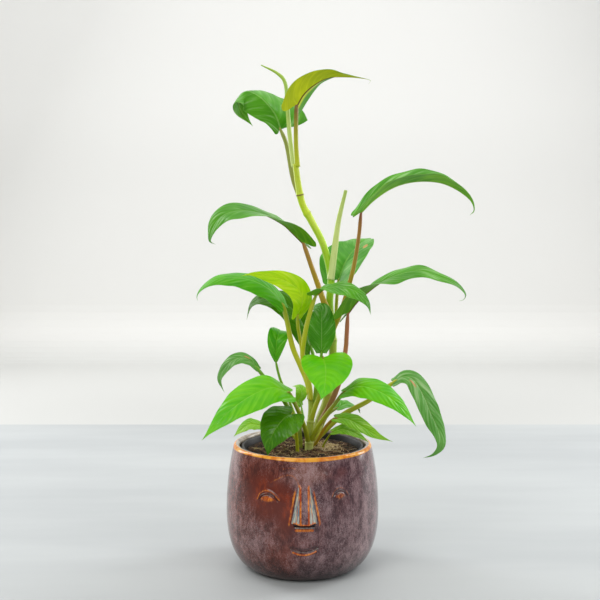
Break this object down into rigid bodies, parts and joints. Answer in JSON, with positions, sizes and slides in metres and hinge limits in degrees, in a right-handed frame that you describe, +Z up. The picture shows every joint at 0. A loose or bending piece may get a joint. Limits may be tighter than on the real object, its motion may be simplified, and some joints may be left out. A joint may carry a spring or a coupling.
{
  "type": "potted philodendron",
  "caption": "Climbing philodendron with heart-shaped leaves in a black nursery pot, set inside a round glazed pot with a calm closed-eyed face in relief.",
  "frame": {"origin": "middle of the flat underside of the glazed pot's foot", "axes": "+Z up along the pot's axis, -Y out of the pot's face, +X to the right for someone facing it"},
  "size_m": [0.2739, 0.1755, 0.5054],
  "materials": {
    "glaze": "gloss",
    "nursery_plastic": "satin",
    "soil": "matte",
    "green_stem": "satin",
    "leaf_stalk": "satin",
    "leaf_blade": "satin",
    "young_growth": "satin"
  },
  "bodies": {
    "root": {"main_stem": "green_stem", "front_shoot": "green_stem", "left_shoot": "green_stem", "rolled_leaf": "young_growth", "leaf_sheath": "young_growth", "crown_leaf_stalk": "leaf_stalk", "crown_leaf_blade": "leaf_blade", "left_top_leaf_stalk": "leaf_stalk", "left_top_leaf_blade": "leaf_blade", "left_upper_leaf_stalk": "leaf_stalk", "left_upper_leaf_blade": "leaf_blade", "back_leaf_stalk": "leaf_stalk", "back_leaf_blade": "leaf_blade", "right_upper_leaf_stalk": "leaf_stalk", "right_upper_leaf_blade": "leaf_blade", "left_middle_leaf_stalk": "leaf_stalk", "left_middle_leaf_blade": "leaf_blade", "young_leaf_stalk": "leaf_stalk", "young_leaf_blade": "young_growth", "hidden_leaf_stalk": "leaf_stalk", "hidden_leaf_blade": "leaf_blade", "middle_leaf_stalk": "leaf_stalk", "middle_leaf_blade": "leaf_blade", "front_leaf_stalk": "leaf_stalk", "front_leaf_blade": "leaf_blade", "left_front_leaf_stalk": "leaf_stalk", "left_front_leaf_blade": "leaf_blade", "low_round_leaf_stalk": "leaf_stalk", "low_round_leaf_blade": "leaf_blade", "left_arched_leaf_stalk": "leaf_stalk", "left_arched_leaf_blade": "leaf_blade", "small_upright_leaf_stalk": "leaf_stalk", "small_upright_leaf_blade": "leaf_blade", "first_seedling_leaf_stalk": "leaf_stalk", "first_seedling_leaf_blade": "leaf_blade", "second_seedling_leaf_stalk": "leaf_stalk", "second_seedling_leaf_blade": "leaf_blade", "right_front_leaf_stalk": "leaf_stalk", "right_front_leaf_blade": "leaf_blade", "right_hanging_leaf_stalk": "leaf_stalk", "right_hanging_leaf_blade": "leaf_blade", "right_low_leaf_stalk": "leaf_stalk", "right_low_leaf_blade": "leaf_blade", "rim_leaf_stalk": "leaf_stalk", "rim_leaf_blade": "leaf_blade", "back_right_leaf_stalk": "leaf_stalk", "back_right_leaf_blade": "leaf_blade", "back_left_leaf_stalk": "leaf_stalk", "back_left_leaf_blade": "leaf_blade", "arching_leaf_stalk": "leaf_stalk", "arching_leaf_blade": "leaf_blade", "right_middle_leaf_stalk": "leaf_stalk", "right_middle_leaf_blade": "leaf_blade", "glazed_pot": "glaze", "nursery_pot": "nursery_plastic", "potting_soil": "soil"}
  },
  "joints": []
}
